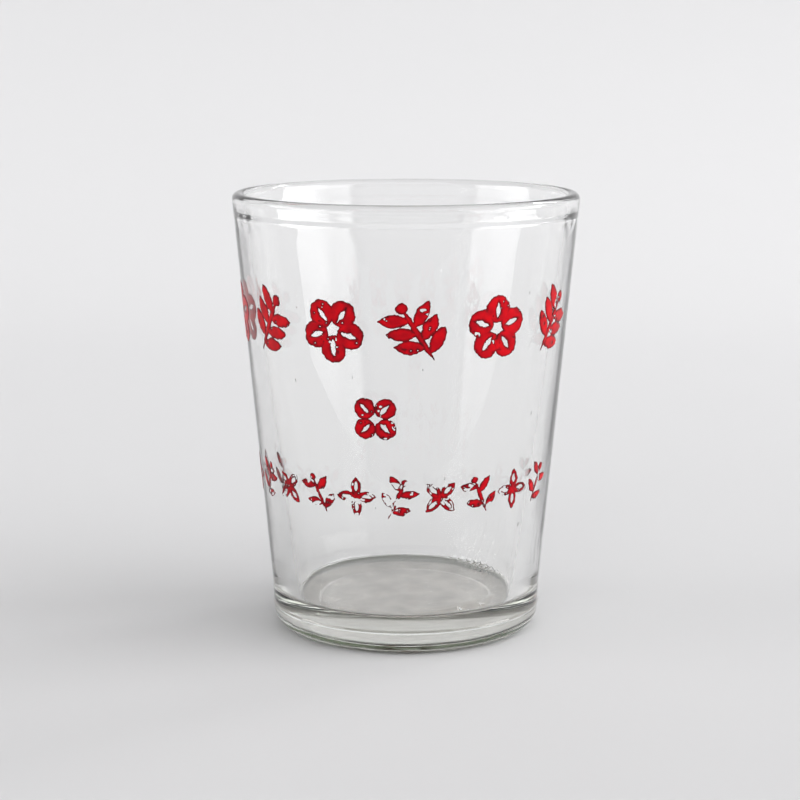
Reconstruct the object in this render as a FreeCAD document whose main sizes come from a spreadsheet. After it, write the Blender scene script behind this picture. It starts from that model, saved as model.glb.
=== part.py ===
"""Shot glass: one piece of pressed glass with fired enamel ornaments on its outer wall.

Frame: millimetres, +Z up, origin at the centre of the plane that the glass stands on, and the
middle of the print faces -Y. The glass is turned from its profile. Each ornament is a thin patch
of enamel on the tapered wall: a flat stencil is padded outwards through the wall, and a groove
trims it on both sides to a conical skin.
"""
import FreeCAD
import Part
import os

import Sketcher

# Driving dimensions, in millimetres, degrees and counts
SIZES = {
    # outside of the glass
    "height": 60.0,
    "mouth_radius": 23.65,
    "taper_end_height": 6.5,
    "taper_end_radius": 18.56,
    "heel_height": 2.7,
    "heel_radius": 18.40,
    "heel_rounding": 2.55,
    # mould parting line above the heel
    "parting_height": 3.3,
    "parting_half_width": 0.25,
    "parting_proud": 0.1,
    # rim
    "rim_thickness": 1.9,
    "rim_rounding": 0.87,
    "bead_depth": 2.3,
    "bead_slope": 0.7,
    "bead_step": 0.2,
    # inside of the glass
    "floor_height": 4.8,
    "floor_wall_radius": 14.95,
    "floor_rounding": 0.7,
    # underside
    "ring_inner_radius": 12.4,
    "punt_radius": 11.9,
    "punt_edge_height": 0.25,
    "punt_centre_height": 0.3,
    # enamel patches
    "enamel_thickness": 0.06,
    "skin_bottom": 16.0,
    "skin_top": 51.0,
    "stencil_reach": 26.0,
    "skin_outside": 30.0,
    # rows of marks: height of the row's middle, angle from one mark to the next
    "top_row_height": 43.95,
    "top_row_pitch": 28.5,
    "top_mark_size": 8.6,
    "middle_height": 32.45,
    "middle_mark_size": 6.6,
    "low_row_height": 21.9,
    "low_row_pitch": 15.9,
    "low_mark_size": 5.4,
    # how far the drawn stems lean from the vertical
    "top_lean": 32.0,
    "low_lean": 24.0,
}
TOP_MARKS = 6
LOW_MARKS = 10

ORIGIN_POINT = (-1, 1)
START, END, CENTRE = 1, 2, 3

doc = FreeCAD.newDocument("ShotGlass")
sheet = doc.addObject("Spreadsheet::Sheet", "Dimensions")
for row, (alias, value) in enumerate(SIZES.items(), start=1):
    sheet.set(f"A{row}", alias)
    sheet.set(f"B{row}", str(value))
    sheet.setAlias(f"B{row}", alias)
doc.recompute()


def cell(alias):
    """The expression that reads one driving dimension."""
    return f"Dimensions.{alias}"


def number(expression):
    """The present value of an expression in the driving dimensions."""
    return float(sheet.evalExpression(expression))


def wall_radius(height):
    """The outer radius of the tapered wall at a height, as an expression."""
    rise = f"({cell('height')} - {cell('taper_end_height')})"
    spread = f"({cell('mouth_radius')} - {cell('taper_end_radius')})"
    above = f"({height} - {cell('taper_end_height')})"
    return f"({cell('taper_end_radius')} + {spread} * {above} / {rise})"


# ---- sketches -------------------------------------------------------------------------------
def new_sketch(body, name, height="0", lean="0"):
    """A sketch on the body's XZ plane, moved up to a height and turned by an angle in it."""
    sketch = body.newObject("Sketcher::SketchObject", name)
    plane = next(o for o in body.Origin.OriginFeatures if o.Role == "XZ_Plane")
    sketch.AttachmentSupport = [(plane, "")]
    sketch.MapMode = "FlatFace"
    sketch.AttachmentOffset = FreeCAD.Placement(
        FreeCAD.Vector(0, number(height), 0),
        FreeCAD.Rotation(FreeCAD.Vector(0, 0, 1), number(lean)),
    )
    sketch.setExpression("AttachmentOffset.Base.y", height)
    if number(lean):
        sketch.setExpression("AttachmentOffset.Rotation.Angle", lean)
    return sketch


def pin_point(sketch, geometry, point, x, y):
    """Ties a sketch point to two expressions, measured from the sketch's origin."""
    for kind, expression in (("DistanceX", x), ("DistanceY", y)):
        constraint = Sketcher.Constraint(kind, *ORIGIN_POINT, geometry, point, number(expression))
        index = sketch.addConstraint(constraint)
        sketch.setExpression(f"Constraints[{index}]", expression)


def draw_outline(sketch, corners):
    """Straight lines through corners, each a pair of expressions, and back to the first."""
    places = [FreeCAD.Vector(number(x), number(y), 0) for x, y in corners]
    nexts = places[1:] + places[:1]
    lines = [
        sketch.addGeometry(Part.LineSegment(here, there), False)
        for here, there in zip(places, nexts)
    ]
    for line, following in zip(lines, lines[1:] + lines[:1]):
        sketch.addConstraint(Sketcher.Constraint("Coincident", line, END, following, START))
    for line, (x, y) in zip(lines, corners):
        pin_point(sketch, line, START, x, y)


def draw_disc(sketch, x, y, radius):
    """A circle whose centre and radius are expressions."""
    centre = FreeCAD.Vector(number(x), number(y), 0)
    circle = Part.Circle(centre, FreeCAD.Vector(0, 0, 1), number(radius))
    geometry = sketch.addGeometry(circle, False)
    pin_point(sketch, geometry, CENTRE, x, y)
    index = sketch.addConstraint(Sketcher.Constraint("Radius", geometry, number(radius)))
    sketch.setExpression(f"Constraints[{index}]", radius)


def draw_leaf(sketch, foot, tip, width):
    """A pointed leaf from foot to tip: two arcs, each passing half the width from the chord."""
    start = FreeCAD.Vector(number(foot[0]), number(foot[1]), 0)
    end = FreeCAD.Vector(number(tip[0]), number(tip[1]), 0)
    along = end - start
    side = FreeCAD.Vector(-along.y, along.x, 0).normalize() * (number(width) / 2)
    middle = (start + end) / 2
    half_chord_squared = (
        f"((({tip[0]}) - ({foot[0]})) ^ 2 + (({tip[1]}) - ({foot[1]})) ^ 2) / 4"
    )
    radius = f"({half_chord_squared} + (({width}) / 2) ^ 2) / ({width})"
    for bulge in (side, -side):
        arc = sketch.addGeometry(Part.Arc(start, middle + bulge, end), False)
        near, far = sorted(
            (START, END),
            key=lambda point: sketch.getPoint(arc, point).distanceToPoint(start),
        )
        pin_point(sketch, arc, near, *foot)
        pin_point(sketch, arc, far, *tip)
        index = sketch.addConstraint(Sketcher.Constraint("Radius", arc, number(radius)))
        sketch.setExpression(f"Constraints[{index}]", radius)


# ---- features -------------------------------------------------------------------------------
def turn(body, kind, sketch, name):
    """A Revolution or Groove of a sketched profile about the vertical axis."""
    feature = body.newObject(f"PartDesign::{kind}", name)
    feature.Profile = sketch
    feature.ReferenceAxis = (sketch, ["V_Axis"])
    feature.Angle = 360.0
    doc.recompute()
    return feature


def round_edges(body, name, radius, places):
    """A Fillet on the circular edges at (radius, height) places."""
    base = body.Tip
    names = []
    for place_radius, place_height in places:
        misses = [
            (abs(edge.Curve.Radius - place_radius) + abs(edge.Curve.Center.z - place_height), i)
            for i, edge in enumerate(base.Shape.Edges, start=1)
            if isinstance(edge.Curve, Part.Circle)
        ]
        miss, index = min(misses)
        if miss > 0.01:
            raise ValueError(f"{name}: no edge at radius {place_radius}, height {place_height}")
        names.append(f"Edge{index}")
    feature = body.newObject("PartDesign::Fillet", name)
    feature.Base = (base, names)
    feature.setExpression("Radius", cell(radius))
    doc.recompute()
    return feature


def pad(body, sketch, name):
    """Pads a stencil outwards, past the wall."""
    feature = body.newObject("PartDesign::Pad", name)
    feature.Profile = sketch
    feature.setExpression("Length", cell("stencil_reach"))
    doc.recompute()
    return feature


def pocket(body, sketch, name):
    """Cuts a stencil outwards, right through the pads."""
    feature = body.newObject("PartDesign::Pocket", name)
    feature.Profile = sketch
    feature.Type = "ThroughAll"
    feature.Reversed = True
    doc.recompute()
    return feature


def repeat_round(body, feature, sketch, name, count):
    """Repeats a feature about the sketch's own normal."""
    pattern = body.newObject("PartDesign::PolarPattern", name)
    pattern.Originals = [feature]
    pattern.Axis = (sketch, ["N_Axis"])
    pattern.Angle = 360.0
    pattern.Occurrences = count
    body.Tip = pattern
    doc.recompute()
    return pattern


def repeat_up(body, feature, sketch, name, length, count):
    """Repeats a feature along the sketch's vertical axis."""
    pattern = body.newObject("PartDesign::LinearPattern", name)
    pattern.Originals = [feature]
    pattern.Direction = (sketch, ["V_Axis"])
    pattern.setExpression("Length", length)
    pattern.Occurrences = count
    body.Tip = pattern
    doc.recompute()
    return pattern


# ---- the glass ------------------------------------------------------------------------------
def outside_corners():
    """Half of the outside, from the axis under the base to the axis at the mouth's height."""
    slope = (
        f"({cell('taper_end_radius')} - {cell('heel_radius')})"
        f" / ({cell('taper_end_height')} - {cell('heel_height')})"
    )

    def foot_radius(height):
        return f"{cell('heel_radius')} + {slope} * ({height} - {cell('heel_height')})"

    low = f"({cell('parting_height')} - {cell('parting_half_width')})"
    high = f"({cell('parting_height')} + {cell('parting_half_width')})"
    middle = cell("parting_height")
    return [
        ("0", "0"),
        (cell("heel_radius"), "0"),
        (cell("heel_radius"), cell("heel_height")),
        (foot_radius(low), low),
        (f"{foot_radius(middle)} + {cell('parting_proud')}", middle),
        (foot_radius(high), high),
        (cell("taper_end_radius"), cell("taper_end_height")),
        (cell("mouth_radius"), cell("height")),
        ("0", cell("height")),
    ]


def cavity_corners():
    """The drinking space: flat floor, tapered wall, and the small step under the rim's bead."""
    bead_radius = f"({cell('mouth_radius')} - {cell('rim_thickness')})"
    bead_foot = f"({cell('height')} - {cell('bead_depth')})"
    above = f"({cell('height')} + 1)"
    return [
        ("0", cell("floor_height")),
        (cell("floor_wall_radius"), cell("floor_height")),
        (f"{bead_radius} + {cell('bead_step')}", f"{bead_foot} - {cell('bead_slope')}"),
        (bead_radius, bead_foot),
        (bead_radius, above),
        ("0", above),
    ]


def punt_corners():
    """The shallow push-up inside the standing ring."""
    return [
        ("0", "-1"),
        (cell("ring_inner_radius"), "-1"),
        (cell("ring_inner_radius"), "0"),
        (cell("punt_radius"), cell("punt_edge_height")),
        ("0", cell("punt_centre_height")),
    ]


def make_glass():
    body = doc.addObject("PartDesign::Body", "glass_body")
    body.Label = "glass_body"
    for kind, name, corners in (
        ("Revolution", "outside", outside_corners()),
        ("Groove", "cavity", cavity_corners()),
        ("Groove", "punt", punt_corners()),
    ):
        sketch = new_sketch(body, f"{name}_profile")
        draw_outline(sketch, corners)
        doc.recompute()
        before = body.Shape.Volume if kind == "Groove" else None
        turn(body, kind, sketch, name)
        if before is not None and body.Shape.Volume > before - 1:
            raise ValueError(f"{name} cut nothing")

    mouth = SIZES["mouth_radius"]
    round_edges(body, "heel_round", "heel_rounding", [(SIZES["heel_radius"], 0.0)])
    round_edges(
        body,
        "rim_round",
        "rim_rounding",
        [(mouth, SIZES["height"]), (mouth - SIZES["rim_thickness"], SIZES["height"])],
    )
    round_edges(
        body, "floor_round", "floor_rounding", [(SIZES["floor_wall_radius"], SIZES["floor_height"])]
    )
    return body


# ---- the enamel marks -----------------------------------------------------------------------
def blossom(body, height, size, petals, lean):
    """Overlapping round petals about an open eye, each petal split by a fine slit."""
    petal = new_sketch(body, "petal", height, lean)
    draw_disc(petal, "0", f"{size} * 0.29", f"{size} * 0.21")
    repeat_round(body, pad(body, petal, "petal_pad"), petal, "petals", petals)
    slit = new_sketch(body, "slit", height, lean)
    draw_leaf(slit, ("0", f"{size} * 0.15"), ("0", f"{size} * 0.39"), f"{size} * 0.07")
    repeat_round(body, pocket(body, slit, "slit_cut"), slit, "slits", petals)


def star(body, height, size, petals, lean):
    """Pointed petals that meet in the middle, each with a slit along it."""
    petal = new_sketch(body, "petal", height, lean)
    draw_leaf(petal, ("0", f"-{size} * 0.05"), ("0", f"{size} * 0.5"), f"{size} * 0.27")
    repeat_round(body, pad(body, petal, "petal_pad"), petal, "petals", petals)
    slit = new_sketch(body, "slit", height, lean)
    draw_leaf(slit, ("0", f"{size} * 0.14"), ("0", f"{size} * 0.38"), f"{size} * 0.1")
    repeat_round(body, pocket(body, slit, "slit_cut"), slit, "slits", petals)


def sprig(body, height, size, leaf_pairs, lean):
    """A leaning stem with a bud at its tip and leaves on alternate sides."""
    stem = new_sketch(body, "stem", height, lean)
    draw_leaf(stem, ("0", f"-{size} * 0.54"), ("0", f"{size} * 0.46"), f"{size} * 0.1")
    pad(body, stem, "stem_pad")
    bud = new_sketch(body, "bud", height, lean)
    draw_disc(bud, "0", f"{size} * 0.41", f"{size} * 0.09")
    pad(body, bud, "bud_pad")
    leaves = new_sketch(body, "leaves", height, lean)
    draw_leaf(
        leaves,
        ("0", f"-{size} * 0.40"),
        (f"{size} * 0.41", f"-{size} * 0.16"),
        f"{size} * 0.21",
    )
    draw_leaf(
        leaves,
        ("0", f"-{size} * 0.28"),
        (f"-{size} * 0.41", f"-{size} * 0.03"),
        f"{size} * 0.21",
    )
    span = f"{size} * 0.46"
    repeat_up(body, pad(body, leaves, "leaf_pads"), leaves, "all_leaves", span, leaf_pairs)


def trim_to_skin(body):
    """Grooves away what lies inside the glass and what stands prouder than the enamel."""
    bottom = cell("skin_bottom")
    top = cell("skin_top")
    thick = cell("enamel_thickness")
    outside = cell("skin_outside")
    sketch = new_sketch(body, "skin_profile")
    draw_outline(
        sketch,
        [("0", bottom), (wall_radius(bottom), bottom), (wall_radius(top), top), ("0", top)],
    )
    draw_outline(
        sketch,
        [
            (f"{wall_radius(bottom)} + {thick}", bottom),
            (outside, bottom),
            (outside, top),
            (f"{wall_radius(top)} + {thick}", top),
        ],
    )
    doc.recompute()
    turn(body, "Groove", sketch, "skin")


def make_mark(name, draw, height, size, count, lean, turned_by):
    """One enamel mark in a body of its own, turned about the glass's axis to its place."""
    body = doc.addObject("PartDesign::Body", name)
    body.Label = name
    draw(body, cell(height), cell(size), count, lean)
    trim_to_skin(body)
    body.Placement = FreeCAD.Placement(
        FreeCAD.Vector(0, 0, 0), FreeCAD.Rotation(FreeCAD.Vector(0, 0, 1), number(turned_by))
    )
    return body


def make_row(prefix, marks, pitch, height, size, drawings):
    """A row of marks centred on -Y, which takes the drawings in turn."""
    bodies = []
    for i in range(marks):
        draw, count, lean = drawings[i % len(drawings)]
        steps = i - (marks - 1) / 2
        turned_by = f"{cell(pitch)} * ({steps})"
        name = f"{prefix}_{i + 1}"
        bodies.append(make_mark(name, draw, height, size, count, lean, turned_by))
    return bodies


def check(bodies):
    """Stops the script if an object failed or a body isn't one valid solid."""
    for item in doc.Objects:
        if "Invalid" in item.State or "Error" in item.State:
            raise RuntimeError(f"{item.Label} failed: {item.State}")
    for body in bodies:
        shape = body.Shape
        if shape.isNull() or not shape.isValid() or len(shape.Solids) != 1:
            raise RuntimeError(f"{body.Label} is not one valid solid")


top_drawings = [
    (blossom, 5, "0"),
    (sprig, 3, f"-{cell('top_lean')}"),
    (blossom, 5, "36"),
    (sprig, 3, cell("top_lean")),
]
low_drawings = [
    (star, 4, "0"),
    (sprig, 2, f"-{cell('low_lean')}"),
    (star, 4, "45"),
    (sprig, 2, cell("low_lean")),
]
bodies = [make_glass()]
bodies += make_row(
    "top_mark", TOP_MARKS, "top_row_pitch", "top_row_height", "top_mark_size", top_drawings
)
bodies.append(make_mark("middle_mark", blossom, "middle_height", "middle_mark_size", 4, "45", "0"))
bodies += make_row(
    "low_mark", LOW_MARKS, "low_row_pitch", "low_row_height", "low_mark_size", low_drawings
)
doc.recompute()
check(bodies)

os.makedirs("parts", exist_ok=True)
for body in bodies:
    body.Shape.exportStep(f"parts/{body.Label}.step")
    print(f"{body.Label}: {body.Shape.Volume:.3f} mm3")
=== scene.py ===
import math
import random

import bpy
import numpy as np
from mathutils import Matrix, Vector, noise


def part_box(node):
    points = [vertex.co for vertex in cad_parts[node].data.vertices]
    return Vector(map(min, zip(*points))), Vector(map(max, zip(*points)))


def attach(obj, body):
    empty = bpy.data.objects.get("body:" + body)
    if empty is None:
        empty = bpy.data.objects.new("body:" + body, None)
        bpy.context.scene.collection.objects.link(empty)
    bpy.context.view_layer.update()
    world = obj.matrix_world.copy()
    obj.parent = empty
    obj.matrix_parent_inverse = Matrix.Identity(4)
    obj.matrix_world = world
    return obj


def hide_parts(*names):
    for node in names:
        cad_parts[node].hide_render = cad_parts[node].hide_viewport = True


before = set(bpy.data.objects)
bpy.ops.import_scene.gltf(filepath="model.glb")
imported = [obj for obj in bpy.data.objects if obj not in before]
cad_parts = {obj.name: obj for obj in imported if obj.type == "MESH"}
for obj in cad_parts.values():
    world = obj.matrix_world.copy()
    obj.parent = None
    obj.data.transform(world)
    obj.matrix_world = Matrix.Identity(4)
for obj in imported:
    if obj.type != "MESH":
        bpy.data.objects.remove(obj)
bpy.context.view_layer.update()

MM = 0.001
GLASS_LOW, GLASS_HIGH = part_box("glass_body")
HEIGHT = GLASS_HIGH.z / MM

# ---- the glass's profile ----------------------------------------------------------------------
# A pair is a corner of the profile: its radius and its height.
MOUTH_RADIUS = 23.65
TAPER_END = (18.56, 6.5)
TAPER_END_ROUNDING = 20.0
HEEL = (18.40, 2.7)
HEEL_ROUNDING = 2.55
HEEL_TOP_ROUNDING = 0.3
PARTING_LOW, PARTING_HEIGHT, PARTING_HIGH = 3.05, 3.3, 3.55
PARTING_PROUD = 0.1
PARTING_ROUNDING = 0.08
RIM_THICKNESS = 1.9
RIM_ROUNDING = 0.87
BEAD_DEPTH = 2.3
BEAD_STEP = 0.2
BEAD_SLOPE = 0.7
BEAD_ROUNDING = 1.6
FLOOR_HEIGHT = 4.8
FLOOR_WALL_RADIUS = 14.95
FLOOR_ROUNDING = 0.7
RING_INNER_RADIUS = 12.4
RING_INNER_ROUNDING = 0.5
PUNT_RADIUS = 11.9
PUNT_ROUNDING = 0.6
PUNT_EDGE_HEIGHT = 0.25
PUNT_CENTRE_HEIGHT = 0.3

# Where the surface is scuffed, and where brown painted shade darkens the heel and the floor's corner
SCUFF_RADIUS = 16.2
SCUFF_HEIGHT = PUNT_CENTRE_HEIGHT + 0.2
# Brown streaks on the heel are painted shade. They stand for the contact shadow seen through the heel and
# are strongest on the side towards the camera.
HEEL_SHADE_HEIGHT = 1.6
SHADE_MIDDLE, SHADE_SPREAD = 10, 26
SHADE_LEAST = 0.1
# Brown in the corner between floor and wall is painted shade. It is strongest on the side towards the
# camera.
CORNER_INNER_RADIUS = 14.4
CORNER_OUTER_RADIUS = 15.1
CORNER_HEIGHT = 5.05

AROUND = 480
PROFILE_STEP = 0.4
ARC_STEP = math.radians(7.5)


def wall_radius(z):
    """The outer radius of the tapered wall at a height."""
    spread = MOUTH_RADIUS - TAPER_END[0]
    return TAPER_END[0] + spread * (z - TAPER_END[1]) / (HEIGHT - TAPER_END[1])


def foot_radius(z):
    """The outer radius of the foot band between the heel and the taper."""
    return HEEL[0] + (TAPER_END[0] - HEEL[0]) * (z - HEEL[1]) / (TAPER_END[1] - HEEL[1])


def profile_corners():
    """Corners (radius, height, rounding): from under the base, up the outside, down to the floor."""
    bead_radius = MOUTH_RADIUS - RIM_THICKNESS
    bead_foot = HEIGHT - BEAD_DEPTH
    return [
        (0.0, PUNT_CENTRE_HEIGHT, 0.0),
        (PUNT_RADIUS, PUNT_EDGE_HEIGHT, PUNT_ROUNDING),
        (RING_INNER_RADIUS, 0.0, RING_INNER_ROUNDING),
        (HEEL[0], 0.0, HEEL_ROUNDING),
        (HEEL[0], HEEL[1], HEEL_TOP_ROUNDING),
        (foot_radius(PARTING_LOW), PARTING_LOW, PARTING_ROUNDING),
        (foot_radius(PARTING_HEIGHT) + PARTING_PROUD, PARTING_HEIGHT, PARTING_ROUNDING),
        (foot_radius(PARTING_HIGH), PARTING_HIGH, PARTING_ROUNDING),
        (*TAPER_END, TAPER_END_ROUNDING),
        (MOUTH_RADIUS, HEIGHT, RIM_ROUNDING),
        (bead_radius, HEIGHT, RIM_ROUNDING),
        (bead_radius, bead_foot, BEAD_ROUNDING),
        (bead_radius + BEAD_STEP, bead_foot - BEAD_SLOPE, BEAD_ROUNDING),
        (FLOOR_WALL_RADIUS, FLOOR_HEIGHT, FLOOR_ROUNDING),
        (0.0, FLOOR_HEIGHT, 0.0),
    ]


def rounded_path(corners, step):
    """Evenly spaced points along a polyline whose corners are rounded to their radii."""
    knots = []
    for i, (r, z, rounding) in enumerate(corners):
        here = Vector((r, z))
        if rounding == 0.0:
            knots.append([here])
            continue
        before = (Vector(corners[i - 1][:2]) - here).normalized()
        after = (Vector(corners[i + 1][:2]) - here).normalized()
        opening = before.angle(after)
        reach = rounding / math.tan(opening / 2)
        centre = here + (before + after).normalized() * (rounding / math.sin(opening / 2))
        start = here + before * reach - centre
        turn = math.pi - opening
        sign = 1.0 if start.x * (after.y - before.y) - start.y * (after.x - before.x) > 0 else -1.0
        pieces = max(2, math.ceil(turn / ARC_STEP))
        arc = []
        for k in range(pieces + 1):
            a = sign * turn * k / pieces
            spun = Vector(
                (
                    start.x * math.cos(a) - start.y * math.sin(a),
                    start.x * math.sin(a) + start.y * math.cos(a),
                )
            )
            arc.append(centre + spun)
        knots.append(arc)
    points = list(knots[0])
    for arc in knots[1:]:
        gap = (arc[0] - points[-1]).length
        pieces = max(1, math.ceil(gap / step))
        start = points[-1]
        points += [start.lerp(arc[0], k / pieces) for k in range(1, pieces + 1)]
        points += arc[1:]
    return points


# ---- small unevenness of pressed glass --------------------------------------------------------
def ripple(angle, z, frequency, seed):
    """Smooth noise about -1 to 1 that closes on itself round the glass."""
    place = Vector((math.cos(angle) * frequency, math.sin(angle) * frequency, z + seed))
    return noise.noise(place, noise_basis="PERLIN_ORIGINAL")


def outside_sway(angle, z):
    """How far the outer wall strays from its cone, in millimetres."""
    return 0.02 * ripple(angle, z * 0.05, 1.6, 3.0) + 0.006 * ripple(angle, z * 0.12, 6.0, 9.0)


def inside_sway(angle, z):
    """The plunger side is less even: slow waves, faint upright streaks, and a restless bead."""
    slow = 0.06 * ripple(angle, z * 0.06, 1.3, 21.0)
    streaks = 0.010 * ripple(angle, z * 0.02, 7.0, 33.0)
    near_bead = math.exp(-(((z - HEIGHT + BEAD_DEPTH + 0.6) / 1.6) ** 2))
    bead = 0.07 * near_bead * ripple(angle, z * 0.55, 9.0, 47.0)
    return slow + streaks + bead


def about(angle, middle, spread):
    """1 at an angle about the glass, fading to 0 a spread away, in degrees."""
    away = (math.degrees(angle) - middle + 180) % 360 - 180
    return math.exp(-((away / spread) ** 2))


CHILL_TOP = 12
CHILL_PITCH = 4.2
BACK_FOLDS, BACK_SPREAD, BACK_DEPTH = 138, 20, 0.35
FRONT_FOLDS, FRONT_SPREAD, FRONT_DEPTH = 50, 24, 0.35


def chill(angle, r, z):
    """Wrinkles where the glass chilled on the plunger, round the edge of the floor."""
    if z > CHILL_TOP:
        return 0.0
    at_edge = math.exp(-(((r - FLOOR_WALL_RADIUS + 0.6) / 1.0) ** 2))
    inwards = math.exp(-(((r - FLOOR_WALL_RADIUS + 2.2) / 1.3) ** 2))
    cross = math.sin(angle * r * CHILL_PITCH + 3.0 * noise.noise(Vector((r * 0.9, z * 0.9, 2.0))))
    along = math.sin(r * CHILL_PITCH + 2.0 * ripple(angle, z * 0.3, 4.0, 61.0))
    back = BACK_DEPTH * cross * about(angle, BACK_FOLDS, BACK_SPREAD) * (at_edge + 0.4 * inwards)
    front = FRONT_DEPTH * along * about(angle, FRONT_FOLDS, FRONT_SPREAD) * inwards
    return back + front + 0.01 * at_edge * ripple(angle, r * 0.5, 6.0, 71.0)


def floor_sway(r, angle):
    """The floor's slow waves."""
    x, y = r * math.sin(angle), -r * math.cos(angle)
    slow = noise.noise(Vector((x * 0.12, y * 0.12, 5.0)))
    fine = noise.noise(Vector((x * 0.5, y * 0.5, 15.0)))
    return 0.015 * slow + 0.003 * fine


def underside_sway(r, angle, z):
    """The push-up's unevenness, none on the flat land that the glass stands on."""
    x, y = r * math.sin(angle), -r * math.cos(angle)
    return 0.012 * noise.noise(Vector((x * 0.3, y * 0.3, 1.0))) * min(1.0, z / PUNT_EDGE_HEIGHT)


def glass_point(index, path, angle, starts):
    """One vertex of the glass: its place on the profile plus the unevenness of that surface."""
    r, z = path[index]
    below_rim = min(1.0, max(0.0, (HEIGHT - 0.5 - z) / 3.0))
    if index < starts["outside"]:
        z += underside_sway(r, angle, z)
    elif index < starts["inside"]:
        above_heel = min(1.0, max(0.0, (z - 3.5) / 4.0))
        r += outside_sway(angle, z) * above_heel * below_rim
    elif index < starts["floor"]:
        r += inside_sway(angle, z) * below_rim + chill(angle, r, z)
    else:
        wrinkle = chill(angle, r, z)
        r, z = (
            r + inside_sway(angle, z) * min(1.0, r / FLOOR_WALL_RADIUS) ** 4 + 0.5 * wrinkle,
            z + floor_sway(r, angle) + wrinkle,
        )
    return (r * math.sin(angle) * MM, -r * math.cos(angle) * MM, z * MM)


def new_mesh_object(name, points, faces):
    mesh = bpy.data.meshes.new(name)
    mesh.from_pydata(points, [], faces)
    mesh.validate()
    mesh.shade_smooth()
    piece = bpy.data.objects.new(name, mesh)
    bpy.context.scene.collection.objects.link(piece)
    return piece


def lathe(path, starts):
    """Vertices and faces of the turned glass, closed at the axis at both ends."""
    rings = range(1, len(path) - 1)
    points = [(0.0, 0.0, path[0][1] * MM)]
    for i in rings:
        for j in range(AROUND):
            points.append(glass_point(i, path, 2 * math.pi * j / AROUND, starts))
    points.append((0.0, 0.0, path[-1][1] * MM))
    last = len(points) - 1
    faces = []
    for j in range(AROUND):
        following = (j + 1) % AROUND
        faces.append((0, 1 + following, 1 + j))
        top = last - AROUND
        faces.append((last, top + j, top + following))
    for i in range(len(path) - 3):
        low = 1 + i * AROUND
        high = low + AROUND
        for j in range(AROUND):
            following = (j + 1) % AROUND
            faces.append((low + j, low + following, high + following, high + j))
    return points, faces


SEEDS = 14
SEED_DRAW = 4  # starts the seeds' random draws
SEED_HEIGHTS = (12, 55)
SEED_DEPTHS = (0.6, 1.2)
SEED_WIDTHS = (0.05, 0.11)
SEED_STRETCHES = (1.0, 3.2)


def seed_bubble(points, faces, centre, length, width, tilt):
    """Adds one seed, a tiny bubble in the glass, its faces turned towards its own middle."""
    rings, around = 7, 12
    first = len(points)
    up = Vector((math.sin(tilt) * 0.3, 0.0, 1.0)).normalized()
    side = up.orthogonal().normalized()
    front = up.cross(side)
    points.append(tuple(centre + up * length))
    for i in range(1, rings):
        a = math.pi * i / rings
        for j in range(around):
            b = 2 * math.pi * j / around
            place = up * (length * math.cos(a))
            place += (side * math.cos(b) + front * math.sin(b)) * (width * math.sin(a))
            points.append(tuple(centre + place))
    points.append(tuple(centre - up * length))
    last = len(points) - 1
    for j in range(around):
        following = (j + 1) % around
        faces.append((first, first + 1 + following, first + 1 + j))
        faces.append((last, last - around + j, last - around + following))
    for i in range(rings - 2):
        a = first + 1 + i * around
        for j in range(around):
            following = (j + 1) % around
            faces.append((a + j, a + following, a + around + following, a + around + j))


def scatter_seeds(points, faces):
    """Adds the seeds at random places in the wall."""
    draw = random.Random(SEED_DRAW)
    for _ in range(SEEDS):
        angle = draw.uniform(0, 2 * math.pi)
        z = draw.uniform(*SEED_HEIGHTS)
        r = wall_radius(z) - draw.uniform(*SEED_DEPTHS)
        centre = Vector((r * math.sin(angle), -r * math.cos(angle), z)) * MM
        width = draw.uniform(*SEED_WIDTHS) * MM
        length = width * draw.uniform(*SEED_STRETCHES)
        seed_bubble(points, faces, centre, length, width, draw.uniform(-0.5, 0.5))


# The third and fourth kinds are glass with brown painted shade: on the heel, and in the floor's corner.
CLEAR, SCUFFED, SHADED_HEEL, SHADED_CORNER = range(4)


def glass_kind(high, out):
    """Which material a face has, from its highest point and its distance from the axis."""
    if high < SCUFF_HEIGHT and out < SCUFF_RADIUS:
        return SCUFFED
    if high < HEEL_SHADE_HEIGHT:
        return SHADED_HEEL
    if CORNER_INNER_RADIUS < out < CORNER_OUTER_RADIUS and high < CORNER_HEIGHT:
        return SHADED_CORNER
    return CLEAR


def painted_shade_strength(place):
    """How strong the painted shade is at a point: most at the front, towards the camera, and a little all
    round.
    """
    front = about(math.atan2(place.x, -place.y), SHADE_MIDDLE, SHADE_SPREAD)
    return SHADE_LEAST + (1 - SHADE_LEAST) * front


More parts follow.
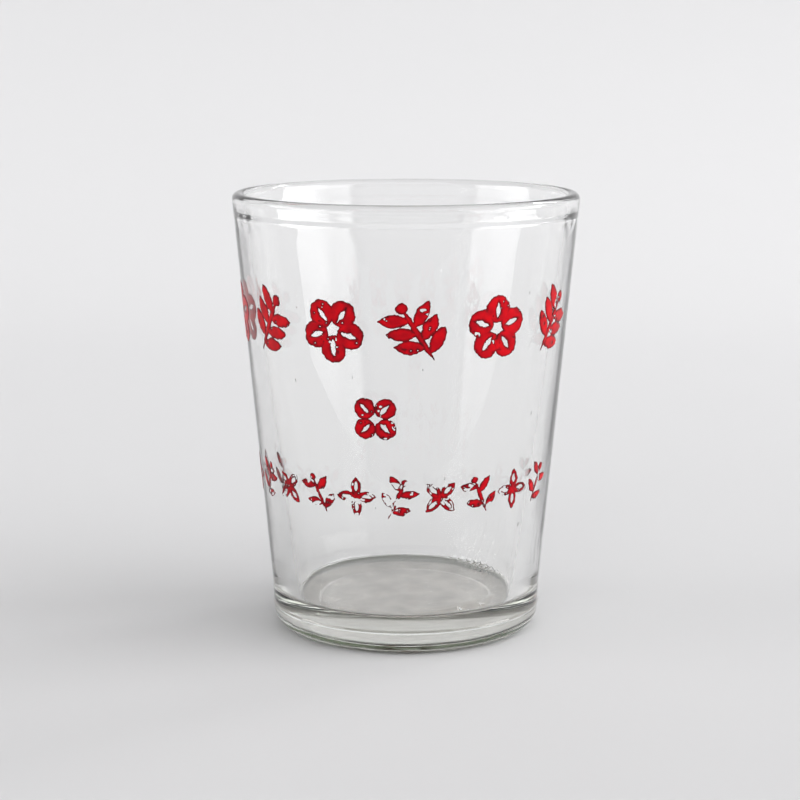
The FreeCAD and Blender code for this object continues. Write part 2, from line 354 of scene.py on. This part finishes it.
def make_glass():
    path = [tuple(p) for p in rounded_path(profile_corners(), PROFILE_STEP)]
    lands = [i for i, (r, z) in enumerate(path) if z < 0.001]
    top = [i for i, (r, z) in enumerate(path) if z > HEIGHT - 0.001]
    floor = next(i for i, (r, z) in enumerate(path) if i > top[-1] and z < FLOOR_HEIGHT + 2.0)
    starts = {"outside": lands[-1], "inside": top[-1], "floor": floor}
    points, faces = lathe(path, starts)
    scatter_seeds(points, faces)
    piece = new_mesh_object("pressed_glass", points, faces)
    mesh = piece.data
    # In the order of the kinds above
    for material in (
        clear_glass("clear_pressed_glass")[0],
        scuffed_glass(),
        # Glass with brown painted shade on the heel, for the contact shadow seen through it
        painted_shade_glass("heel_painted_shade_glass", HEEL_SHADE_BROWN, (1, 1, 14), scale=300.0, low=0.44, high=0.54),
        # Glass with brown painted shade in the corner between floor and wall
        painted_shade_glass("corner_painted_shade_glass", CORNER_SHADE_BROWN, (1, 1, 1), scale=120.0, low=0.35, high=0.7),
    ):
        mesh.materials.append(material)
    kinds = []
    for face in mesh.polygons:
        high = max(mesh.vertices[v].co.z for v in face.vertices) / MM
        out = math.hypot(face.center.x, face.center.y) / MM
        kinds.append(glass_kind(high, out))
    mesh.polygons.foreach_set("material_index", kinds)
    # Per vertex: how strong the brown painted shade is
    painted_shade = mesh.attributes.new("painted_shade", "FLOAT", "POINT")
    painted_shade.data.foreach_set("value", [painted_shade_strength(vertex.co) for vertex in mesh.vertices])
    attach(piece, "root")
    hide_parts("glass_body")


# ---- materials --------------------------------------------------------------------------------
GLASS_INDEX = 1.52
GLASS_TINT, GLASS_DENSITY = (0.80, 0.84, 0.75, 1.0), 12.0
# Brown painted shade for the heel's contact shadow seen through the glass
HEEL_SHADE_BROWN = (0.10, 0.05, 0.025, 1.0)
# Brown painted shade for the corner between floor and wall
CORNER_SHADE_BROWN = (0.55, 0.45, 0.36, 1.0)
RED = (0.64, 0.0, 0.006, 1.0)
DEEP_RED = (0.36, 0.0, 0.007, 1.0)
OUTLINE_RED = (0.06, 0.002, 0.004, 1.0)
PAPER = (0.748, 0.746, 0.754, 1.0)


def node(tree, kind, **settings):
    made = tree.nodes.new(kind)
    for name, value in settings.items():
        setattr(made, name, value)
    return made


def fresh_material(name):
    material = bpy.data.materials.new(name)
    material.use_nodes = True
    tree = material.node_tree
    shader = tree.nodes["Principled BSDF"]
    return material, tree, shader


def clear_glass(name):
    """Clear glass, faintly grey-green in its depth, with a surface that isn't quite even."""
    material, tree, shader = fresh_material(name)
    shader.inputs["Base Color"].default_value = (1.0, 1.0, 1.0, 1.0)
    shader.inputs["Transmission Weight"].default_value = 1.0
    shader.inputs["IOR"].default_value = GLASS_INDEX
    shader.inputs["Roughness"].default_value = 0.0
    coordinates = node(tree, "ShaderNodeTexCoord")
    grain = node(tree, "ShaderNodeTexNoise")
    grain.inputs["Scale"].default_value = 420.0
    grain.inputs["Detail"].default_value = 3.0
    bump = node(tree, "ShaderNodeBump")
    bump.inputs["Strength"].default_value = 0.05
    bump.inputs["Distance"].default_value = 0.02 * MM
    tree.links.new(coordinates.outputs["Object"], grain.inputs["Vector"])
    tree.links.new(grain.outputs["Fac"], bump.inputs["Height"])
    tree.links.new(bump.outputs["Normal"], shader.inputs["Normal"])
    tint = node(tree, "ShaderNodeVolumeAbsorption")
    tint.inputs["Color"].default_value = GLASS_TINT
    tint.inputs["Density"].default_value = GLASS_DENSITY
    output = tree.nodes["Material Output"]
    tree.links.new(tint.outputs["Volume"], output.inputs["Volume"])
    return material, tree, shader


def spread_noise(tree, stretch, scale, low, high, to_low, to_high):
    """Noise in the object's space, finer along some axes, whose low to high becomes to_low to to_high."""
    coordinates = node(tree, "ShaderNodeTexCoord")
    mapping = node(tree, "ShaderNodeMapping")
    mapping.inputs["Scale"].default_value = stretch
    grain = node(tree, "ShaderNodeTexNoise")
    grain.inputs["Scale"].default_value = scale
    grain.inputs["Detail"].default_value = 4.0
    spread = node(tree, "ShaderNodeMapRange")
    spread.inputs["From Min"].default_value = low
    spread.inputs["From Max"].default_value = high
    spread.inputs["To Min"].default_value = to_low
    spread.inputs["To Max"].default_value = to_high
    tree.links.new(coordinates.outputs["Object"], mapping.inputs["Vector"])
    tree.links.new(mapping.outputs["Vector"], grain.inputs["Vector"])
    tree.links.new(grain.outputs["Fac"], spread.inputs["Value"])
    return spread.outputs["Result"]


def scuffed_glass():
    """The underside: milky and mottled where years of use have scuffed it."""
    material, tree, shader = clear_glass("scuffed_base_glass")
    rough = spread_noise(tree, (1, 1, 1), scale=420.0, low=0.35, high=0.65, to_low=0.03, to_high=0.18)
    tree.links.new(rough, shader.inputs["Roughness"])
    clarity = spread_noise(tree, (1, 1, 1), scale=260.0, low=0.3, high=0.7, to_low=0.1, to_high=0.4)
    tree.links.new(clarity, shader.inputs["Transmission Weight"])
    shader.inputs["Base Color"].default_value = (1.0, 0.955, 0.915, 1.0)
    return material


def painted_shade_glass(name, shade_colour, stretch, scale, low, high):
    """Glass darkened by brown painted shade, as strongly as the mesh's attribute for it says."""
    material, tree, shader = clear_glass(name)
    shade_amount = node(tree, "ShaderNodeMath", operation="MULTIPLY")
    strength = node(tree, "ShaderNodeAttribute", attribute_name="painted_shade")
    tree.links.new(spread_noise(tree, stretch, scale, low, high, 0.0, 1.0), shade_amount.inputs[0])
    tree.links.new(strength.outputs["Fac"], shade_amount.inputs[1])
    ramp = node(tree, "ShaderNodeValToRGB")
    ramp.color_ramp.elements[0].color = (1.0, 0.99, 0.97, 1.0)
    ramp.color_ramp.elements[1].color = shade_colour
    tree.links.new(shade_amount.outputs[0], ramp.inputs["Fac"])
    tree.links.new(ramp.outputs["Color"], shader.inputs["Base Color"])
    return material


def enamel_material():
    """Fired red enamel: dark where the film thins at its edges, vivid and mottled inside them."""
    material, tree, shader = fresh_material("red_enamel")
    coordinates = node(tree, "ShaderNodeTexCoord")
    depth = node(tree, "ShaderNodeAttribute", attribute_name="film_depth")
    mottle = node(tree, "ShaderNodeTexNoise")
    mottle.inputs["Scale"].default_value = 700.0
    mottle.inputs["Detail"].default_value = 5.0
    tree.links.new(coordinates.outputs["Object"], mottle.inputs["Vector"])
    red = node(tree, "ShaderNodeValToRGB")
    red.color_ramp.elements[0].position = 0.0
    red.color_ramp.elements[0].color = OUTLINE_RED
    red.color_ramp.elements[1].position = 1.0
    red.color_ramp.elements[1].color = RED
    middle = red.color_ramp.elements.new(0.55)
    middle.color = DEEP_RED
    mix = node(tree, "ShaderNodeMath", operation="MULTIPLY_ADD")
    mix.inputs[1].default_value = 0.9
    tree.links.new(mottle.outputs["Fac"], mix.inputs[0])
    tree.links.new(depth.outputs["Fac"], mix.inputs[2])
    lower = node(tree, "ShaderNodeMath", operation="SUBTRACT")
    lower.inputs[1].default_value = 0.45
    tree.links.new(mix.outputs[0], lower.inputs[0])
    tree.links.new(lower.outputs[0], red.inputs["Fac"])
    tree.links.new(red.outputs["Color"], shader.inputs["Base Color"])
    rough = node(tree, "ShaderNodeMapRange")
    rough.inputs["To Min"].default_value = 0.22
    rough.inputs["To Max"].default_value = 0.42
    tree.links.new(mottle.outputs["Fac"], rough.inputs["Value"])
    tree.links.new(rough.outputs["Result"], shader.inputs["Roughness"])
    shader.inputs["IOR"].default_value = 1.5
    shader.inputs["Specular IOR Level"].default_value = 0.12
    bump = node(tree, "ShaderNodeBump")
    bump.inputs["Strength"].default_value = 0.35
    bump.inputs["Distance"].default_value = 0.02 * MM
    tree.links.new(mottle.outputs["Fac"], bump.inputs["Height"])
    tree.links.new(bump.outputs["Normal"], shader.inputs["Normal"])
    return material


# ---- enamel marks -----------------------------------------------------------------------------
# Distances below are negative inside a shape, in millimetres, over numpy arrays u (across) and
# v (up) measured from the mark's middle.
def disc(u, v, cu, cv, radius):
    return np.hypot(u - cu, v - cv) - radius


def leaf(u, v, foot, tip, width):
    """The overlap of two equal discs whose arcs meet at the foot and the tip."""
    chord = math.dist(foot, tip)
    bulge = width / 2
    radius = (chord**2 / 4 + bulge**2) / (2 * bulge)
    middle = ((foot[0] + tip[0]) / 2, (foot[1] + tip[1]) / 2)
    across = (-(tip[1] - foot[1]) / chord, (tip[0] - foot[0]) / chord)
    offset = radius - bulge
    sides = [
        disc(u, v, middle[0] + s * across[0] * offset, middle[1] + s * across[1] * offset, radius)
        for s in (-1, 1)
    ]
    return np.maximum(*sides)


def leaned(u, v, degrees):
    """Coordinates in a drawing that is turned anticlockwise by an angle."""
    a = math.radians(degrees)
    return u * math.cos(a) + v * math.sin(a), -u * math.sin(a) + v * math.cos(a)


def union(shapes):
    return np.minimum.reduce(shapes)


def blossom(u, v, size, petals, lean):
    """Overlapping round petals about an open eye, each petal split by a fine slit."""
    petal_shapes, slits = [], []
    for k in range(petals):
        a, b = leaned(u, v, lean + 360 * k / petals)
        petal_shapes.append(disc(a, b, 0, size * 0.29, size * 0.21))
        slits.append(leaf(a, b, (0, size * 0.15), (0, size * 0.39), size * 0.07))
    return np.maximum(union(petal_shapes), -union(slits))


def star(u, v, size, petals, lean):
    """Pointed petals that meet in the middle, each with a slit along it."""
    petal_shapes, slits = [], []
    for k in range(petals):
        a, b = leaned(u, v, lean + 360 * k / petals)
        petal_shapes.append(leaf(a, b, (0, -size * 0.05), (0, size * 0.5), size * 0.27))
        slits.append(leaf(a, b, (0, size * 0.14), (0, size * 0.38), size * 0.1))
    return np.maximum(union(petal_shapes), -union(slits))


def sprig(u, v, size, leaf_pairs, lean):
    """A leaning stem with a bud at its tip and leaves on alternate sides."""
    a, b = leaned(u, v, lean)
    shapes = [
        leaf(a, b, (0, -size * 0.54), (0, size * 0.46), size * 0.1),
        disc(a, b, 0, size * 0.41, size * 0.09),
    ]
    for k in range(leaf_pairs):
        up = size * 0.46 * k / (leaf_pairs - 1)
        shapes.append(
            leaf(a, b, (0, up - size * 0.40), (size * 0.41, up - size * 0.16), size * 0.21)
        )
        shapes.append(
            leaf(a, b, (0, up - size * 0.28), (-size * 0.41, up - size * 0.03), size * 0.21)
        )
    return union(shapes)


def value_noise(u, v, scale, seed):
    """Smooth noise about -1 to 1 over arrays, from one seeded grid of random values."""
    draw = np.random.default_rng(seed)
    grid = draw.uniform(-1, 1, (64, 64))
    x, y = u / scale + 31.5, v / scale + 31.5
    i, j = np.floor(x).astype(int), np.floor(y).astype(int)
    fx, fy = x - i, y - j
    fx, fy = fx * fx * (3 - 2 * fx), fy * fy * (3 - 2 * fy)
    i, j = i % 63, j % 63
    low = grid[i, j] * (1 - fx) + grid[i + 1, j] * fx
    high = grid[i, j + 1] * (1 - fx) + grid[i + 1, j + 1] * fx
    return low * (1 - fy) + high * fy


FILM_CELL = 0.065  # the stencil grid's step
FILM_THICKNESS = 0.055
FILM_EDGE = 0.32  # how far in from its edge a film thins
FILM_LEAST = 0.008  # how far a film stands proud at its very edge
FILM_SEAT = -0.008  # a film's underside lies within the wall, because fired enamel leaves no gap
OUTLINE_WIDTH = 0.13
FILLING_HOLDS, OUTLINE_HOLDS = 1.25, 1.55  # how much rubbing each stands, less the mark's wear


def worn(distance, u, v, raggedness, wear, seed):
    """A drawing as it was printed, fired and used.

    Its edges are uneven, it has pinholes, and where it is rubbed the filling goes first and
    leaves its thicker outline standing; where it is rubbed most, the outline goes too.
    """
    edge = 0.6 * value_noise(u, v, 0.55, seed) + 0.4 * value_noise(u, v, 0.24, seed + 1)
    result = distance + raggedness * edge
    draw = random.Random(seed)
    half = float(np.abs(v).max())
    for _ in range(int(12 + 40 * wear)):
        cu, cv = draw.uniform(-half, half), draw.uniform(-half, half)
        result = np.maximum(result, -disc(u, v, cu, cv, draw.uniform(0.03, 0.09)))
    rubbed = value_noise(u, v, 1.1, seed + 2) + 0.5 * value_noise(u, v, 0.3, seed + 3)
    filling_gone = np.maximum((FILLING_HOLDS - wear) - rubbed, result + OUTLINE_WIDTH)
    all_gone = (OUTLINE_HOLDS - wear) - rubbed
    return np.maximum.reduce([result, -filling_gone, -all_gone])


def cut_cells(distance):
    """Triangles of a grid clipped to where distance is negative: (points, triangles).

    A point is a pair (grid place, grid place) and how far it lies from the first to the second.
    """
    rows, columns = distance.shape
    places, triangles = {}, []

    def corner(a):
        return places.setdefault((a, a), len(places))

    def crossing(a, b):
        return places.setdefault((min(a, b), max(a, b)), len(places))

    inside = distance < 0
    touched = inside[:-1, :-1] | inside[1:, :-1] | inside[:-1, 1:] | inside[1:, 1:]
    for i, j in zip(*np.nonzero(touched)):
        i, j = int(i), int(j)
        square = [(i, j), (i + 1, j), (i + 1, j + 1), (i, j + 1)]
        for triple in ((square[0], square[1], square[2]), (square[0], square[2], square[3])):
            outline = []
            for k in range(3):
                here, there = triple[k], triple[(k + 1) % 3]
                if inside[here]:
                    outline.append(corner(here))
                if inside[here] != inside[there]:
                    outline.append(crossing(here, there))
            for k in range(1, len(outline) - 1):
                triangles.append((outline[0], outline[k], outline[k + 1]))
    return places, triangles


def on_wall(u, z, lift, turned_by):
    """A stencil point carried outwards to the wall, lift millimetres proud, then turned."""
    plain = wall_radius(z)
    a = math.asin(u / plain)
    angle = a + turned_by
    r = plain + outside_sway(angle, z) + lift
    return (r * math.sin(angle) * MM, -r * math.cos(angle) * MM, z * MM)


def make_mark(name, drawing, size, count, lean, height, turned_by, raggedness, wear, seed, material):
    """One enamel film with its own thickness, thinning to nothing at its edges."""
    reach = size * 0.62
    cells = int(2 * reach / FILM_CELL)
    line = np.linspace(-reach, reach, cells + 1)
    u, v = np.meshgrid(line, line, indexing="ij")
    distance = worn(drawing(u, v, size, count, lean), u, v, raggedness, wear, seed)
    thick = value_noise(u, v, 0.9, seed + 4) * 0.15 + 0.85
    depth = np.clip(-distance / FILM_EDGE, 0, 1)
    places, triangles = cut_cells(distance)
    top, bottom, film = [], [], []
    for first, second in places:
        share = 0.0
        if first != second:
            share = distance[first] / (distance[first] - distance[second])
        here = [a[first] + (a[second] - a[first]) * share for a in (u, v, depth, thick)]
        across, up, inner, coat = (float(x) for x in here)
        rise = FILM_THICKNESS * coat * (1 - (1 - inner) ** 2) + FILM_LEAST
        top.append(on_wall(across, up + height, rise, turned_by))
        bottom.append(on_wall(across, up + height, FILM_SEAT, turned_by))
        film.append(inner * coat)
    count_top = len(top)
    edges = {}
    for a, b, c in triangles:
        for edge in ((a, b), (b, c), (c, a)):
            edges[edge] = edges.get(edge, 0) + 1
    rim = [edge for edge in edges if (edge[1], edge[0]) not in edges]
    faces = list(triangles)
    faces += [(a + count_top, c + count_top, b + count_top) for a, b, c in triangles]
    faces += [(b, a, a + count_top, b + count_top) for a, b in rim]
    piece = new_mesh_object(f"{name}_film", top + bottom, faces)
    attribute = piece.data.attributes.new("film_depth", "FLOAT", "POINT")
    attribute.data.foreach_set("value", film + film)
    piece.data.materials.append(material)
    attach(piece, "root")
    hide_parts(name)


def make_row(prefix, marks, pitch, height, size, drawings, raggedness, wear, seed, material):
    """A row of marks centred on -Y, pitch degrees apart, which takes the drawings in turn."""
    for i in range(marks):
        drawing, count, lean = drawings[i % len(drawings)]
        turned_by = math.radians(pitch * (i - (marks - 1) / 2))
        make_mark(
            f"{prefix}_{i + 1}", drawing, size, count, lean, height, turned_by,
            raggedness, wear, seed + 10 * i, material,
        )


# ---- stage, light, camera ---------------------------------------------------------------------
def make_sweep():
    """A pale table that curves up behind into a wall."""
    half_width, front, cove_start, cove_radius, top = 3.0, -3.0, 0.26, 0.16, 0.5
    outline = [(front, 0.0), (-1.0, 0.0), (0.0, 0.0), (cove_start, 0.0)]
    for k in range(1, 25):
        a = math.pi / 2 * k / 24
        outline.append(
            (cove_start + cove_radius * math.sin(a), cove_radius * (1 - math.cos(a)))
        )
    outline.append((cove_start + cove_radius, top))
    points = [(x, y, z) for y, z in outline for x in (-half_width, half_width)]
    faces = [(2 * k, 2 * k + 1, 2 * k + 3, 2 * k + 2) for k in range(len(outline) - 1)]
    sweep = new_mesh_object("sweep", points, faces)
    sweep.rotation_euler.z = CAMERA_AZIMUTH
    sweep.location.z = -0.05 * MM
    material, tree, shader = fresh_material("pale_paper")
    shader.inputs["Base Color"].default_value = PAPER
    shader.inputs["Roughness"].default_value = 0.75
    shader.inputs["Specular IOR Level"].default_value = 0.25
    sweep.data.materials.append(material)


def soft_light(name, azimuth, distance, height, size, power, aim_height=0.03):
    """A square or oblong lamp; azimuth in degrees from the camera's side, positive to its right."""
    light = bpy.data.lights.new(name, "AREA")
    light.shape = "RECTANGLE"
    light.size, light.size_y = size
    light.energy = power
    lamp = bpy.data.objects.new(name, light)
    a = CAMERA_AZIMUTH + math.radians(azimuth)
    lamp.location = (distance * math.sin(a), -distance * math.cos(a), height)
    towards = Vector((0, 0, aim_height)) - lamp.location
    lamp.rotation_euler = towards.to_track_quat("-Z", "Y").to_euler()
    bpy.context.scene.collection.objects.link(lamp)


CAMERA_AZIMUTH = math.radians(10.8)
CAMERA_DISTANCE = 0.2853
CAMERA_HEIGHT = 0.0827
CAMERA_PITCH = math.radians(10.23)
CAMERA_YAW = math.radians(0.161)
CAMERA_LENS = 94.5


def make_camera():
    data = bpy.data.cameras.new("camera")
    data.lens = CAMERA_LENS
    data.sensor_width = 36.0
    data.clip_start = 0.01
    camera = bpy.data.objects.new("camera", data)
    camera.location = (
        CAMERA_DISTANCE * math.sin(CAMERA_AZIMUTH),
        -CAMERA_DISTANCE * math.cos(CAMERA_AZIMUTH),
        CAMERA_HEIGHT,
    )
    camera.rotation_euler = (math.pi / 2 - CAMERA_PITCH, 0.0, CAMERA_AZIMUTH + CAMERA_YAW)
    bpy.context.scene.collection.objects.link(camera)
    bpy.context.scene.camera = camera


# The studio's soft panels. Azimuths are degrees from the camera's side, positive to its right;
# each edge is given as (where it starts, where it ends) so that a pair close together is crisp.
PANELS = {
    # name: (left edge, right edge, lower edge, upper edge, brightness)
    "left_window": ((-122, -98), (-56, -51), (-5, 5), (22, 32), 2.8),
    "left_sky": ((-108, -95), (-82, -66), (-5, 5), (22, 32), 1.8),
    "right_window": ((38, 43), (106, 112), (-5, 5), (22, 32), 2.6),
    "right_sky": ((58, 74), (106, 112), (-5, 5), (22, 32), 2.9),
    "behind_camera": ((-51, -40), (28, 38), (-5, 5), (22, 32), 0.45),
    "right_high": ((30, 45), (95, 125), (18, 34), (50, 75), 1.8),
    "overhead": ((-50, -30), (30, 45), (18, 34), (50, 75), 1.45),
    "ceiling": ((-180, -180), (180, 180), (50, 75), (90, 91), 0.36),
}
DIMNESS = 0.02


def make_world():
    """A dim room with soft panels: tall ones left and right of the camera, a broad one overhead."""
    world = bpy.data.worlds.new("studio")
    bpy.context.scene.world = world
    world.use_nodes = True
    tree = world.node_tree

    def math_node(operation, *values):
        made = node(tree, "ShaderNodeMath", operation=operation)
        for socket, value in zip(made.inputs, values):
            if isinstance(value, (int, float)):
                socket.default_value = value
            else:
                tree.links.new(value, socket)
        return made.outputs[0]

    def edge(value, start, end, low, high):
        """Goes from low to high as value, in radians, goes from start to end, in degrees."""
        made = node(tree, "ShaderNodeMapRange", interpolation_type="SMOOTHSTEP")
        tree.links.new(value, made.inputs["Value"])
        made.inputs["From Min"].default_value = math.radians(start)
        made.inputs["From Max"].default_value = math.radians(end)
        made.inputs["To Min"].default_value = low
        made.inputs["To Max"].default_value = high
        return made.outputs["Result"]

    axes = node(tree, "ShaderNodeSeparateXYZ")
    tree.links.new(node(tree, "ShaderNodeTexCoord").outputs["Generated"], axes.inputs[0])
    x, y, z = axes.outputs
    around = math_node("ARCTAN2", x, math_node("MULTIPLY", y, -1.0))
    around = math_node("WRAP", math_node("SUBTRACT", around, CAMERA_AZIMUTH), math.pi, -math.pi)
    climb = math_node("ARCSINE", z)
    total = DIMNESS
    for left, right, lower, upper, brightness in PANELS.values():
        share = math_node("MULTIPLY", edge(climb, *lower, 0.0, 1.0), edge(climb, *upper, 1.0, 0.0))
        goes_all_round = right[0] - left[1] >= 360
        if not goes_all_round:
            share = math_node("MULTIPLY", share, edge(around, *left, 0.0, 1.0))
            share = math_node("MULTIPLY", share, edge(around, *right, 1.0, 0.0))
        total = math_node("MULTIPLY_ADD", share, brightness, total)
    background = tree.nodes["Background"]
    background.inputs["Color"].default_value = (1.0, 1.0, 1.0, 1.0)
    tree.links.new(total, background.inputs["Strength"])
    world.cycles.sampling_method = "MANUAL"
    world.cycles.sample_map_resolution = 1024


make_camera()
make_world()
make_sweep()
soft_light("key", azimuth=135, distance=0.655, height=0.459, size=(0.3, 0.3), power=2.2)
bpy.context.scene.view_settings.view_transform = "Standard"

make_glass()
enamel = enamel_material()
TOP_LEAN, LOW_LEAN = 32.0, 24.0
make_row(
    "top_mark", marks=6, pitch=28.5, height=43.95, size=8.6,
    drawings=[(blossom, 5, 0), (sprig, 3, -TOP_LEAN), (blossom, 5, 36), (sprig, 3, TOP_LEAN)],
    raggedness=0.16, wear=0.22, seed=100, material=enamel,
)
make_mark(
    "middle_mark", blossom, size=6.6, count=4, lean=45, height=32.45, turned_by=0.0,
    raggedness=0.15, wear=0.32, seed=300, material=enamel,
)
make_row(
    "low_mark", marks=10, pitch=15.9, height=21.9, size=5.4,
    drawings=[(star, 4, 0), (sprig, 2, -LOW_LEAN), (star, 4, 45), (sprig, 2, LOW_LEAN)],
    raggedness=0.15, wear=0.78, seed=400, material=enamel,
)
